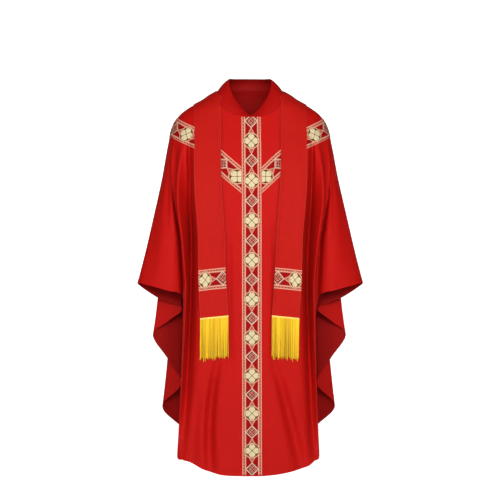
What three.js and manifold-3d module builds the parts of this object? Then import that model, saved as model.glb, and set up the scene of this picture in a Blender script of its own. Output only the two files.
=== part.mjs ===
// Gothic chasuble with its matching stole, worn: the cloth hangs open and hollow from the shoulders.
// Millimetres, +Z up, the front faces -Y, +X is the viewer's right.
// The origin is the middle of the neck at shoulder height, where the wearer carries it.
import * as THREE from "three";
import Module from "manifold-3d";

const wasm = await Module();
wasm.setup();

// ---------------------------------------------------------------- driving dimensions
const CLOTH = 2; // chasuble and stole cloth
const COLLAR_CLOTH = 2.6; // collar, a doubled layer
const TRIM = 1.2; // woven orphrey band
const SEAM = 0.3; // gap at a seam
const COLLAR_SEAM = 0.5; // gap at the neck seam, where the edges run in short straights
const REST = 0.8; // a band lies this far off the facets of the cloth under it
const FOLD_START = -100; // height where the folds begin to part from the smooth shoulders
const FOLD_FULL = -480; // height from which the folds are full
const WRIST = -604; // height of the sleeve corners
const LOW = -1150; // height of the low plan, near the hem
const SPREAD = 1.4; // how the folds open between the wrist and the low plan
const SQUARE = 0.06; // how far the oval of the chest fills out its corners
const SWAY = 10; // the front hangs this far towards -X at the low plan, its centre line apart
const PANEL_ROWS = 18; // grid rows of a chasuble panel, from the neck seam to the hem

const COLUMN_WIDTH = 61; // orphrey down the centre front
const COLUMN_TOP = -73;
const COLUMN_END = -1200;
const STOLE_WIDTH = 85;
const STOLE_FROM_NECK = 4; // from the neck seam to the stole's inner edge, round the back
const FRINGE_STRANDS = 40;
const FRINGE_LENGTH = 141;
const FRINGE_THICK = 1.3;
const FRINGE_HEAD = 5; // height of the woven head that holds the strands
const FRINGE_HEAD_THICK = 2.6;
const FRINGE_UNEVEN = 6; // how far the ends of the strands differ in length
const FRINGE_SWAY = 0.5; // how far a strand's end leaves its place
const ARM_FROM_COLUMN = 1.6; // from the column's edge to the arm, which clears it all the way up

// Plan of the smooth body at each height: half width at the shoulder ridge, how far the
// ridge lies behind the neck, and the depths in front of the neck and behind it.
const LEVELS = [
  { z: 36, half: 92, ridge: 10, front: 40, back: 78 },
  { z: 22, half: 104, ridge: 10, front: 48, back: 88 },
  { z: 3, half: 135, ridge: 10, front: 62, back: 99 },
  { z: -10, half: 153, ridge: 9, front: 69, back: 105 },
  { z: -36, half: 199, ridge: 8, front: 79, back: 114 },
  { z: -62, half: 231, ridge: 6, front: 87, back: 121 },
  { z: -101, half: 253, ridge: 4, front: 101, back: 129 },
  { z: -166, half: 268, ridge: 0, front: 120, back: 140 },
  { z: -270, half: 286, ridge: -6, front: 138, back: 149 },
  { z: -400, half: 314, ridge: -18, front: 149, back: 153 },
  { z: -504, half: 338, ridge: -31, front: 156, back: 156 },
  { z: WRIST, half: 363.7, ridge: -45, front: 162, back: 160 },
];

// One row for each fold, from centre front round one side to centre back.
// round: place on the smooth oval (0 centre front, 1 shoulder ridge, 2 centre back)
// x, y: plan at the wrist; lowX, lowY: plan at the low level, past the hem on short rows
// lean: how much further out it stands above the wrist, in each 100 mm
// hem: height of the edge; drop: how much lower it is on the +X side, where it differs
// cuts: grid columns from here to the next row
const FOLDS = [
  { name: "centre front", round: 0, x: 0, y: -162, lowX: 0, lowY: -190, hem: -1204, cuts: 1 },
  { name: "column edge", round: 0.071, x: 30.5, y: -162, lowX: 30.5, lowY: -190, hem: -1204, cuts: 1 },
  { name: "stole side", round: 0.19, x: 78, y: -160, lowX: 82, lowY: -187, hem: -1201, cuts: 2 },
  { name: "front", round: 0.31, x: 127, y: -155, lowX: 135, lowY: -179, hem: -1187, drop: 5, cuts: 2 },
  { name: "side front", round: 0.41, x: 165, y: -142, lowX: 182, lowY: -167, hem: -1164, drop: 15, cuts: 2 },
  { name: "valley", round: 0.49, x: 188, y: -98, lowX: 207, lowY: -157, hem: -1157, drop: 6, cuts: 2 },
  { name: "crest", round: 0.54, x: 201, y: -143, lowX: 225, lowY: -140, lean: 9, hem: -1145, cuts: 3 },
  { name: "first tuck", round: 0.58, x: 210, y: -115, lowX: 217, lowY: -116, lean: 9, hem: -1040, cuts: 3 },
  { name: "inner tuck", round: 0.62, x: 198, y: -88, lowX: 190, lowY: -92, lean: 7, hem: -860, cuts: 3 },
  { name: "crease", round: 0.67, x: 214, y: -78, lowX: 214, lowY: -78, lean: 9, hem: -662, cuts: 2 },
  { name: "sleeve edge", round: 0.71, x: 231, y: -103, lowX: 231, lowY: -103, lean: 7, hem: -634, cuts: 2 },
  { name: "forearm", round: 0.77, x: 264, y: -111, lowX: 264, lowY: -111, lean: 2, hem: -626, cuts: 2 },
  { name: "arm", round: 0.88, x: 322, y: -92, lowX: 322, lowY: -92, hem: -611, cuts: 2 },
  { name: "ridge", round: 1, x: 363.7, y: -45, lowX: 363.7, lowY: -45, hem: -604, cuts: 2 },
  { name: "sleeve back", round: 1.09, x: 302, y: -6, lowX: 302, lowY: -6, hem: -650, cuts: 2 },
  { name: "first turn", round: 1.19, x: 222, y: 12, lowX: 218, lowY: 12, hem: -686, cuts: 2 },
  { name: "first layer", round: 1.25, x: 262, y: 27, lowX: 300, lowY: 27, hem: -729, cuts: 2 },
  { name: "first fold", round: 1.31, x: 298, y: 43, lowX: 396, lowY: 46, hem: -772, cuts: 2 },
  { name: "second layer", round: 1.37, x: 255, y: 59, lowX: 300, lowY: 62, hem: -852, cuts: 2 },
  { name: "second turn", round: 1.43, x: 214, y: 77, lowX: 235, lowY: 84, hem: -936, cuts: 3 },
  { name: "second fold", round: 1.52, x: 253, y: 107, lowX: 304, lowY: 113, hem: -1012, cuts: 3 },
  { name: "side back", round: 1.62, x: 205, y: 137, lowX: 238, lowY: 145, hem: -1080, cuts: 2 },
  { name: "back", round: 1.74, x: 140, y: 152, lowX: 152, lowY: 166, hem: -1145, cuts: 2 },
  { name: "inner back", round: 1.87, x: 70, y: 158, lowX: 76, lowY: 180, hem: -1180, cuts: 2 },
  { name: "centre back", round: 2, x: 0, y: 160, lowX: 0, lowY: 184, hem: -1190, cuts: 2 },
];
const rowOf = (name) => FOLDS.findIndex((row) => row.name === name);
const COLUMN_ROW = rowOf("column edge");
const CREST = rowOf("crest");
const CREASE = rowOf("crease");
const RIDGE = rowOf("ridge");
const BACK = FOLDS.length - 1;

// Height of the neck seam round the oval.
const NECKLINE = [
  { round: 0, z: -70 },
  { round: 0.083, z: -68.5 },
  { round: 0.17, z: -60.5 },
  { round: 0.26, z: -44 },
  { round: 0.4, z: -17 },
  { round: 0.55, z: 4 },
  { round: 0.75, z: 17 },
  { round: 1, z: 22 },
  { round: 1.4, z: 27 },
  { round: 2, z: 31 },
];

// Top edge of the collar round the oval, from the V at centre front, and how far the
// collar rolls outwards halfway up.
const COLLAR = [
  { round: 0, x: 0, y: -72, z: -64.5, roll: 1 },
  { round: 0.083, x: 21, y: -68, z: -49, roll: 2 },
  { round: 0.17, x: 39, y: -61, z: -27, roll: 4 },
  { round: 0.26, x: 53, y: -53, z: -6, roll: 5 },
  { round: 0.4, x: 64, y: -39, z: 20, roll: 6 },
  { round: 0.55, x: 68, y: -22, z: 40, roll: 7 },
  { round: 0.75, x: 69, y: -6, z: 54, roll: 7 },
  { round: 1, x: 67, y: 14, z: 61, roll: 7 },
  { round: 1.4, x: 48, y: 46, z: 64, roll: 7 },
  { round: 2, x: 0, y: 64, z: 66, roll: 7 },
];

// Edges of the orphrey arms: the height of the upper and lower edge at each place.
const ARM_FRONT = [
  { x: COLUMN_WIDTH / 2 + ARM_FROM_COLUMN, upper: -235, lower: -318 },
  { x: 95, upper: -179, lower: -262 },
  { x: 176, upper: -106, lower: -175 },
];
const ARM_RIDGE = { upper: -71, lower: -130 };
const ARM_BACK = [
  { x: 176, upper: -124, lower: -188 },
  { x: 95, upper: -184, lower: -261 },
  { x: SEAM, upper: -258, lower: -341 },
];

// Edges of the stole as it falls in front, below the shoulder ridge.
const STOLE_FALL = [
  { innerX: 102, innerZ: 1, outerX: 178, outerZ: -36 },
  { innerX: 98, innerZ: -25, outerX: 179, outerZ: -60 },
  { innerX: 95.5, innerZ: -62, outerX: 178, outerZ: -95 },
  { innerX: 94.5, innerZ: -120, outerX: 176.5, outerZ: -142 },
  { innerX: 94.5, innerZ: -183, outerX: 175, outerZ: -192 },
  { innerX: 87, innerZ: -360, outerX: 167, outerZ: -366 },
  { innerX: 77.5, innerZ: -552, outerX: 157.5, outerZ: -561 },
  { innerX: 68, innerZ: -702, outerX: 154.5, outerZ: -711 },
];
const BAND_TOP = 6; // the row of STOLE_FALL where the stole's cross band begins
const BAND_SHARE = 0.37; // how far the cross band reaches towards the next row

// ---------------------------------------------------------------- curves and surface
const lerp = (a, b, t) => a + (b - a) * t;
const clamp = (t) => Math.min(1, Math.max(0, t));
const smooth = (t) => clamp(t) ** 2 * (3 - 2 * clamp(t));

// Catmull-Rom value through four even steps.
function through(a, b, c, d, t) {
  const slopeB = (c - a) / 2;
  const slopeC = (d - b) / 2;
  const t2 = t * t;
  const t3 = t2 * t;
  return (
    b * (2 * t3 - 3 * t2 + 1) +
    slopeB * (t3 - 2 * t2 + t) +
    c * (3 * t2 - 2 * t3) +
    slopeC * (t3 - t2)
  );
}

// A column of a table at a height or place, where the rows are unevenly spaced.
function tableAt(rows, key, at, column) {
  const down = rows[0][key] > rows[1][key];
  let i = 0;
  while (i < rows.length - 2 && (down ? rows[i + 1][key] > at : rows[i + 1][key] < at)) i += 1;
  const here = rows[i];
  const next = rows[i + 1];
  const span = next[key] - here[key];
  const slope = (k) => {
    const a = rows[Math.max(0, k - 1)];
    const b = rows[Math.min(rows.length - 1, k + 1)];
    return ((b[column] - a[column]) / (b[key] - a[key])) * span;
  };
  const t = clamp((at - here[key]) / span);
  const t2 = t * t;
  const t3 = t2 * t;
  return (
    here[column] * (2 * t3 - 3 * t2 + 1) +
    slope(i) * (t3 - 2 * t2 + t) +
    next[column] * (3 * t2 - 2 * t3) +
    slope(i + 1) * (t3 - t2)
  );
}

// Point of the smooth oval: round 0 to 2 goes from centre front to centre back.
function ovalAt(round, z) {
  const half = tableAt(LEVELS, "z", z, "half");
  const ridge = tableAt(LEVELS, "z", z, "ridge");
  const angle = (round * Math.PI) / 2;
  const fill = 1 + SQUARE * Math.sin(2 * angle) ** 2;
  const depth =
    angle < Math.PI / 2
      ? -tableAt(LEVELS, "z", z, "front") - ridge
      : ridge - tableAt(LEVELS, "z", z, "back");
  return { x: half * Math.sin(angle) * fill, y: ridge + depth * Math.cos(angle) * fill };
}

// A column of FOLDS at a place between its rows; the two ends mirror.
function foldAt(place, column, odd = false) {
  const i = Math.min(BACK - 1, Math.floor(place));
  const pick = (k) => {
    const row = FOLDS[k < 0 ? -k : k > BACK ? 2 * BACK - k : k];
    const value = row[column] ?? 0;
    if (column === "round" && k < 0) return -value;
    if (column === "round" && k > BACK) return 4 - value;
    return odd && (k < 0 || k > BACK) ? -value : value;
  };
  return through(pick(i - 1), pick(i), pick(i + 1), pick(i + 2), place - i);
}

// Side of the body and place in FOLDS for a place on the whole ring:
// 0 centre front, RIDGE the +X shoulder, BACK centre back, then on round the -X side.
function sideOf(ring) {
  if (ring < 0) return { side: -1, place: -ring };
  if (ring > BACK) return { side: -1, place: 2 * BACK - ring };
  return { side: 1, place: ring };
}

// The outer face of the chasuble: ring says how far round, z the height.
function clothAt(ring, z) {
  const { side, place } = sideOf(ring);
  const oval = ovalAt(foldAt(place, "round"), z);
  const open = Math.max(0, (WRIST - z) / (WRIST - LOW)) ** SPREAD;
  const wristX = foldAt(place, "x", true);
  const wristY = foldAt(place, "y");
  const foldY = lerp(wristY, foldAt(place, "lowY"), open);
  let foldX = lerp(wristX, foldAt(place, "lowX", true), open);
  foldX += (foldAt(place, "lean") * Math.max(0, z - WRIST)) / 100;
  const bodice = 200; // the cloth further out than this moves with the sleeve
  const sleeve = clamp((wristX - bodice) / (FOLDS[RIDGE].x - bodice));
  foldX += sleeve * (tableAt(LEVELS, "z", Math.max(z, WRIST), "half") - FOLDS[RIDGE].x);
  const full = smooth((FOLD_START - z) / (FOLD_START - FOLD_FULL));
  const swings = smooth(place - COLUMN_ROW) * smooth((CREASE - place) / 2);
  const sway = SWAY * swings * Math.max(0, z / LOW);
  const x = side * lerp(oval.x, foldX, full) - sway;
  return new THREE.Vector3(x, lerp(oval.y, foldY, full), z);
}

function neckAt(ring) {
  return tableAt(NECKLINE, "round", foldAt(sideOf(ring).place, "round"), "z");
}

function hemAt(ring) {
  const { side, place } = sideOf(ring);
  return foldAt(place, "hem") - (side > 0 ? foldAt(place, "drop") : 0);
}

// The outer face with its outward direction.
function faceAt(ring, z) {
  const step = 0.02;
  const drop = 0.8;
  const across = clothAt(ring + step, z).sub(clothAt(ring - step, z));
  const down = clothAt(ring, z - drop).sub(clothAt(ring, z + drop));
  return { point: clothAt(ring, z), out: down.cross(across).normalize(), across: across.normalize() };
}

// Height reached after walking a length of cloth down from z.
function walkDown(ring, z, length) {
  const stride = 1;
  let walked = 0;
  let height = z;
  let last = clothAt(ring, z);
  while (walked < length) {
    height -= stride;
    const next = clothAt(ring, height);
    walked += next.distanceTo(last);
    last = next;
  }
  return height;
}

// Place on the ring where the +X side of the front or back panel is x from the middle.
function ringAt(x, z, back = false) {
  let low = back ? RIDGE : 0;
  let high = back ? BACK : RIDGE;
  for (let i = 0; i < 40; i += 1) {
    const middle = (low + high) / 2;
    const inside = (clothAt(middle, z).x - clothAt(-middle, z).x) / 2 < x;
    if (inside !== back) low = middle;
    else high = middle;
  }
  return (low + high) / 2;
}

// ---------------------------------------------------------------- solids
// A closed wall between two faces of a grid. at(i, j) gives [inner, outer] points, with
// i across and j down; loop joins the last column to the first.
function wall(columns, rows, at, loop = false) {
  const inner = [];
  const outer = [];
  for (let j = 0; j < rows; j += 1)
    for (let i = 0; i < columns; i += 1) {
      const [low, high] = at(i, j);
      inner.push(low.x, low.y, low.z);
      outer.push(high.x, high.y, high.z);
    }
  const shift = columns * rows;
  const index = [];
  const quad = (a, b, c, d) => index.push(a, c, b, b, c, d);
  const turned = (a, b, c, d) => index.push(a, b, c, b, d, c); // split along the same line
  const spans = loop ? columns : columns - 1;
  for (let i = 0; i < spans; i += 1) {
    const next = (i + 1) % columns;
    for (let j = 0; j < rows - 1; j += 1) {
      const here = j * columns;
      const below = here + columns;
      quad(here + i, here + next, below + i, below + next);
      turned(shift + here + i, shift + here + next, shift + below + i, shift + below + next);
    }
    const foot = (rows - 1) * columns;
    quad(shift + i, shift + next, i, next);
    quad(foot + i, foot + next, shift + foot + i, shift + foot + next);
  }
  if (!loop)
    for (let j = 0; j < rows - 1; j += 1) {
      const here = j * columns;
      const below = here + columns;
      const end = columns - 1;
      quad(shift + here, here, shift + below, below);
      quad(here + end, shift + here + end, below + end, shift + below + end);
    }
  const shape = new THREE.BufferGeometry();
  const points = new Float32Array([...outer, ...inner]);
  shape.setAttribute("position", new THREE.BufferAttribute(points, 3));
  shape.setIndex(index);
  return shape;
}

// Places round the ring from one row of FOLDS to another, as fine as each row asks.
function placesBetween(from, to) {
  const places = [];
  for (let k = from; k < to; k += 1) {
    const row = sideOf(k + 0.5).place;
    const { cuts } = FOLDS[Math.floor(row)];
    for (let c = 0; c < cuts; c += 1) places.push(k + c / cuts);
  }
  places.push(to);
  return places;
}

// The grid of a chasuble panel from one shoulder ridge to the other: faces[j][i] is the
// outer face at row j, counted down from the neck seam, and place i round the ring.
function panelGrid(from, to, seam = SEAM / 2) {
  const places = placesBetween(from, to);
  const denseTop = 1.3;
  const faces = [];
  for (let j = 0; j <= PANEL_ROWS; j += 1)
    faces.push(
      places.map((ring, i) => {
        const z = lerp(neckAt(ring), hemAt(ring), (j / PANEL_ROWS) ** denseTop);
        const face = faceAt(ring, z);
        if (i === 0) face.point.addScaledVector(face.across, seam);
        if (i === places.length - 1) face.point.addScaledVector(face.across, -seam);
        return face;
      }),
    );
  return { places, faces };
}

const frontGrid = panelGrid(-RIDGE, RIDGE);
const backGrid = panelGrid(RIDGE, 2 * BACK - RIDGE);

function panel({ places, faces }, low = -CLOTH, high = 0) {
  return wall(places.length, faces.length, (i, j) => {
    const { point, out } = faces[j][i];
    return [point.clone().addScaledVector(out, low), point.clone().addScaledVector(out, high)];
  });
}

// A point moved out from the flat facets of a panel, so that what lies there clears them.
function onPanel(ring, z, lift) {
  const whole = 2 * BACK;
  let turned = ring < -RIDGE ? ring + whole : ring;
  if (turned > whole - RIDGE) turned -= whole;
  const grid = turned > RIDGE ? backGrid : frontGrid;
  const { places, faces } = grid;
  let i = 0;
  while (i < places.length - 2 && places[i + 1] <= turned) i += 1;
  const f = clamp((turned - places[i]) / (places[i + 1] - places[i]));
  const heightAt = (j) => lerp(faces[j][i].point.z, faces[j][i + 1].point.z, f);
  let j = 0;
  while (j < faces.length - 2 && heightAt(j + 1) >= z) j += 1;
  const g = clamp((heightAt(j) - z) / (heightAt(j) - heightAt(j + 1)));
  const corners = [faces[j][i], faces[j][i + 1], faces[j + 1][i], faces[j + 1][i + 1]];
  const shares = f + g <= 1 ? [1 - f - g, f, g, 0] : [0, 1 - g, 1 - f, f + g - 1];
  const point = new THREE.Vector3();
  const out = new THREE.Vector3();
  corners.forEach((corner, k) => {
    point.addScaledVector(corner.point, shares[k]);
    out.addScaledVector(corner.out, shares[k]);
  });
  return point.addScaledVector(out.normalize(), lift);
}

// A strip that lies on the cloth: edges(t) gives its two edges as [ring, z] at t from 0 to 1
// along it, lift is how far it lies off the cloth.
function ribbon(edges, along, across, lift, thick) {
  return wall(across + 1, along + 1, (i, j) => {
    const [first, second] = edges(j / along);
    const share = i / across;
    const ring = lerp(first[0], second[0], share);
    const z = lerp(first[1], second[1], share);
    return [onPanel(ring, z, lift), onPanel(ring, z, lift + thick)];
  });
}

// Edges that run smoothly through rows of [ring, z] pairs.
function edgesThrough(rows) {
  const last = rows.length - 1;
  return (t) => {
    const i = Math.min(last - 1, Math.floor(t * last));
    const pick = (k) => rows[Math.min(last, Math.max(0, k))];
    return [0, 1].map((edge) =>
      [0, 1].map((part) =>
        through(
          pick(i - 1)[edge][part],
          pick(i)[edge][part],
          pick(i + 1)[edge][part],
          pick(i + 2)[edge][part],
          t * last - i,
        ),
      ),
    );
  };
}

// The same strip on the -X side, with its edges swapped so that it still faces out.
function mirrored(edges) {
  return (t) => {
    const [first, second] = edges(t);
    return [
      [-second[0], second[1]],
      [-first[0], first[1]],
    ];
  };
}

function solidOf(shape) {
  const vertProperties = shape.getAttribute("position").array;
  const triVerts = Uint32Array.from(shape.getIndex().array);
  return new wasm.Manifold(new wasm.Mesh({ numProp: 3, vertProperties, triVerts }));
}

function shapeOf(solid) {
  const { vertProperties, triVerts } = solid.getMesh();
  const shape = new THREE.BufferGeometry();
  shape.setAttribute("position", new THREE.BufferAttribute(Float32Array.from(vertProperties), 3));
  shape.setIndex(Array.from(triVerts));
  return shape;
}

// Joins closed shapes that run into each other.
const joined = (shapes) => shapeOf(shapes.map(solidOf).reduce((sum, solid) => sum.add(solid)));

// Cuts the underside of a band to the facets of both panels, a seam's gap clear of them.
function laidOnPanels(shape) {
  const depth = 12;
  const overlap = -0.5;
  const front = panel(panelGrid(-RIDGE, RIDGE, overlap), -depth, SEAM);
  const back = panel(panelGrid(RIDGE, 2 * BACK - RIDGE, overlap), -depth, SEAM);
  return shapeOf(solidOf(shape).subtract(solidOf(front)).subtract(solidOf(back)));
}

// ---------------------------------------------------------------- the pieces
// The collar stands on the neck seam, rolls out and leans in to its V-fronted top edge.
function collar() {
  const rows = 5;
  const rings = placesBetween(0, 2 * BACK).filter((ring) => {
    const { place } = sideOf(ring);
    return ring < 2 * BACK && Number.isInteger(2 * place) && (place <= CREST || place >= CREASE);
  });
  return wall(
    rings.length,
    rows,
    (i, j) => {
      const ring = rings[i];
      const { side, place } = sideOf(ring);
      const round = foldAt(place, "round");
      const z = neckAt(ring);
      const { point: onCurve, out, across } = faceAt(ring, z);
      const above = faceAt(ring, z + 1).point.sub(onCurve).normalize();
      const point = onPanel(ring, z, 0).addScaledVector(above, COLLAR_SEAM);
      const top = new THREE.Vector3(
        side * tableAt(COLLAR, "round", round, "x"),
        tableAt(COLLAR, "round", round, "y"),
        tableAt(COLLAR, "round", round, "z"),
      );
      // Row 0 is the top edge: the wall runs down from there, as the panels do.
      const up = 1 - j / (rows - 1);
      const rise = top.clone().sub(point).normalize();
      const lean = across.clone().cross(rise).normalize();
      const roll = tableAt(COLLAR, "round", round, "roll") * Math.sin(up * Math.PI);
      const outward = out.clone().lerp(lean, Math.min(1, up * 2)).normalize();
      const face = point.clone().lerp(top, up).addScaledVector(lean, roll);
      return [face.clone().addScaledVector(outward, -COLLAR_CLOTH), face];
    },
    true,
  );
}

// Orphrey down the centre front, from under the collar to the hem.
function frontColumn() {
  const middle = frontGrid.places.indexOf(0);
  const heights = frontGrid.faces.map((row) => row[middle].point.z);
  heights[0] = COLUMN_TOP;
  heights[PANEL_ROWS] = COLUMN_END;
  const edges = (t) => {
    const z = heights[Math.round(t * PANEL_ROWS)];
    const ring = ringAt(COLUMN_WIDTH / 2, z);
    return [
      [-ring, z],
      [ring, z],
    ];
  };
  return ribbon(edges, PANEL_ROWS, 2, REST, TRIM);
}

// One arm of the orphrey: up from the column, over the shoulder and down to centre back.
function arm(turn) {
  const round = (ring) => foldAt(ring, "round");
  const edge = (name) => [
    ...ARM_FRONT.map((row) => ({ round: round(ringAt(row.x, row[name])), z: row[name] })),
    { round: 1, z: ARM_RIDGE[name] },
    ...ARM_BACK.map((row) => ({ round: round(ringAt(row.x, row[name], true)), z: row[name] })),
  ];
  const lower = edge("lower");
  const upper = edge("upper");
  const start = ringAt(ARM_FRONT[0].x, ARM_FRONT[0].lower);
  const end = ringAt(ARM_BACK.at(-1).x, ARM_BACK.at(-1).lower, true);
  const stops = [start, ...placesBetween(0, BACK).filter((ring) => ring > start && ring < end), end];
  const edges = (t) => {
    const ring = stops[Math.round(t * (stops.length - 1))];
    return [
      [ring, tableAt(lower, "round", round(ring), "z")],
      [ring, tableAt(upper, "round", round(ring), "z")],
    ];
  };
  return laidOnPanels(ribbon(turn(edges), stops.length - 1, 3, -1, 1 + SEAM + TRIM));
}

const EASE = 0.5; // more room under the stole, whose facets are wider than the band's
const LIE = SEAM + TRIM + REST + EASE; // the stole lies over the arm of the orphrey

// The stole's two edges as it comes over the ridge and falls in front.
function stoleEdges() {
  const atRidge = neckAt(RIDGE) - STOLE_FROM_NECK;
  const rows = [
    [
      [RIDGE, atRidge],
      [RIDGE, walkDown(RIDGE, atRidge, STOLE_WIDTH)],
    ],
  ];
  STOLE_FALL.forEach((row) =>
    rows.push([
      [ringAt(row.innerX, row.innerZ), row.innerZ],
      [ringAt(row.outerX, row.outerZ), row.outerZ],
    ]),
  );
  return edgesThrough(rows);
}

// Part of a strip, from share a to share b of its length.
const part = (edges, a, b) => (t) => edges(lerp(a, b, t));

function stoleNeck() {
  const edges = (t) => {
    const ring = lerp(RIDGE, 2 * BACK - RIDGE, t);
    const z = neckAt(ring) - STOLE_FROM_NECK;
    return [
      [ring, walkDown(ring, z, STOLE_WIDTH)],
      [ring, z],
    ];
  };
  const clear = 0.0012; // share of the length left at each end, for the seam with the hanging parts
  return ribbon(part(edges, clear, 1 - clear), 24, 3, LIE, CLOTH);
}

// Fringe: a narrow head across the end of the stole, and strands that hang from it.
function fringe(turn) {
  const end = STOLE_FALL.at(-1);
  const head = (t) => {
    const drop = SEAM + t * FRINGE_HEAD;
    return [
      [ringAt(end.innerX, end.innerZ - drop), end.innerZ - drop],
      [ringAt(end.outerX, end.outerZ - drop), end.outerZ - drop],
    ];
  };
  const shapes = [ribbon(turn(head), 1, 8, LIE, FRINGE_HEAD_THICK)];
  const inset = (FRINGE_HEAD_THICK - FRINGE_THICK) / 2;
  for (let k = 0; k < FRINGE_STRANDS; k += 1) {
    const share = (k + 0.5) / FRINGE_STRANDS;
    const x = lerp(end.innerX, end.outerX, share);
    const top = lerp(end.innerZ, end.outerZ, share) - FRINGE_HEAD / 2;
    const length = FRINGE_LENGTH - FRINGE_HEAD + FRINGE_UNEVEN * Math.sin(k * k);
    const strand = (t) => {
      const z = top - t * length;
      const middle = x + FRINGE_SWAY * Math.sin(2 * k) * t;
      return [
        [ringAt(middle - FRINGE_THICK / 2, z), z],
        [ringAt(middle + FRINGE_THICK / 2, z), z],
      ];
    };
    shapes.push(ribbon(turn(strand), 1, 1, LIE + inset, FRINGE_THICK));
  }
  return joined(shapes);
}

// ---------------------------------------------------------------- the garment
const finish = (color, roughness) => new THREE.MeshStandardMaterial({ color, roughness, metalness: 0 });
const redCloth = finish("#b9130f", 0.75);
const stoleCloth = finish("#bf1a14", 0.75);
const wovenBand = finish("#d8a57a", 0.6);
const yellowFringe = finish("#e8c01c", 0.6);

const garment = new THREE.Group();

function piece(name, shape, material) {
  shape.computeVertexNormals();
  const mesh = new THREE.Mesh(shape, material);
  mesh.name = name;
  garment.add(mesh);
}

piece("chasuble_front", panel(frontGrid), redCloth);
piece("chasuble_back", panel(backGrid), redCloth);
piece("collar", collar(), redCloth);
piece("orphrey_column", frontColumn(), wovenBand);
piece("stole_neck", stoleNeck(), stoleCloth);

const stole = stoleEdges();
const bandStart = (BAND_TOP + 1) / STOLE_FALL.length;
const bandEnd = (BAND_TOP + 1 + BAND_SHARE) / STOLE_FALL.length;
for (const [side, turn] of [
  ["right", (edges) => edges],
  ["left", mirrored],
]) {
  piece(`orphrey_arm_${side}`, arm(turn), wovenBand);
  piece(`stole_${side}`, ribbon(turn(stole), 32, 3, LIE, CLOTH), stoleCloth);
  const band = part(stole, bandStart, bandEnd);
  piece(`stole_band_${side}`, ribbon(turn(band), 3, 3, LIE + CLOTH + REST, TRIM), wovenBand);
  piece(`fringe_${side}`, fringe(turn), yellowFringe);
}

export default garment;
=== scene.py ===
# Gothic chasuble with its matching stole, as worn: red cloth that hangs open and hollow from
# the shoulders, woven orphreys, and a yellow fringe on each stole end.
# Sizes are in millimetres until a mesh is made. +Z is up, the front faces -Y.
import math

import bpy
import numpy as np
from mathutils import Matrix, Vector
from mathutils.kdtree import KDTree

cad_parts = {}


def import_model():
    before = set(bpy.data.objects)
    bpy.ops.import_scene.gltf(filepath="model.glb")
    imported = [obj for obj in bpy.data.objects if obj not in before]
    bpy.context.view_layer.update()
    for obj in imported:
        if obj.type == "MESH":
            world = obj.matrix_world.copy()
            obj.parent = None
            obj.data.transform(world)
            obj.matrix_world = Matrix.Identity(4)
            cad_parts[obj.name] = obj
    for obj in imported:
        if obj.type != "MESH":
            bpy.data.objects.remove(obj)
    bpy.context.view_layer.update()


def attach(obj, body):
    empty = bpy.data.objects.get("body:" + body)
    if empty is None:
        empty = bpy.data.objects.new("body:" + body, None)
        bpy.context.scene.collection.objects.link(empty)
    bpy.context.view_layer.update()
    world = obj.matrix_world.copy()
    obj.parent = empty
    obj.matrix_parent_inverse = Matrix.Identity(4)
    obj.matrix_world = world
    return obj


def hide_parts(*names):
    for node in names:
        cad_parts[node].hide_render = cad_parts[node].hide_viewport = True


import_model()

MM = 0.001

# ---------------------------------------------------------------- driving sizes
CLOTH = 2.0  # chasuble and stole cloth
COLLAR_CLOTH = 2.6  # collar, a doubled layer
TRIM = 1.2  # woven band
SEAM = 0.3  # gap at a seam
COLLAR_SEAM = 0.5
REST = 0.8  # between one layer and the next
EASE = 0.5  # more room under the stole
FOLD_START = -100  # height where the folds begin to part from the smooth shoulders
FOLD_FULL = -480  # height from which the folds are full
WRIST = -604  # height of the sleeve corners
LOW = -1150  # height of the low plan, near the hem
SPREAD = 1.4  # how the folds open between the wrist and the low plan
SQUARE = 0.06  # how far the oval of the chest fills out its corners
SWAY = 10  # the front hangs this far towards -X at the low plan

PANEL_COLUMNS = 300  # grid of one chasuble panel
FOLD_DENSITY = 2.2  # how much closer its columns are in the folds beside the stole
PANEL_ROWS = 150
DENSE_TOP = 1.15  # power that packs a panel's rows closer towards the neck
HEM_WIDTH = 18  # turned hem
HEM_RISE = 0.7  # how far the turned hem stands proud

COLUMN_WIDTH = 61  # orphrey down the centre front
COLUMN_TOP = -73  # heights of its two ends
COLUMN_END = -1200
STOLE_WIDTH = 85
STOLE_FROM_NECK = 4  # how far the stole's upper edge lies below the neck seam
STOLE_LIFT = SEAM + TRIM + REST + EASE  # how far it hangs off the cloth, over the band
NECK_LIFT = 0.6  # how far the stole lies off the cloth at the neck, where no band is under it
BAND_SHARE = (7 / 8, 7.37 / 8)  # the stole's cross band, in shares of the hanging length
CROSS_START = 9.4  # from the stole's inner edge to the middle of the cross band's diamond
CROSS_STRETCH = 1.11  # how much closer the design is woven in the cross band
FRINGE_LENGTH = 141  # from the end of the stole to the ends of the longest strands
FRINGE_HEAD = 5  # woven head
BAND_GAP = 0.15  # between a band and the cloth that it lies on
EDGE_CURL = 3.2  # how far the stole's hanging edges curl off the cloth


def table(columns, *rows):
    """Named columns of a table of numbers."""
    return {name: np.array([row[k] for row in rows], float) for k, name in enumerate(columns.split())}


# Plan of the smooth body at each height: half width at the shoulder ridge, how far the ridge
# lies behind the neck, and the depths in front of the neck and behind it.
LEVELS = table(
    "z half ridge front back",
    (36, 92, 10, 40, 78),
    (22, 104, 10, 48, 88),
    (3, 135, 10, 62, 99),
    (-10, 153, 9, 69, 105),
    (-36, 199, 8, 79, 114),
    (-62, 231, 6, 87, 121),
    (-101, 253, 4, 101, 129),
    (-166, 268, 0, 120, 140),
    (-270, 286, -6, 138, 149),
    (-400, 314, -18, 149, 153),
    (-504, 338, -31, 156, 156),
    (WRIST, 363.7, -45, 162, 160),
)

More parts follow.
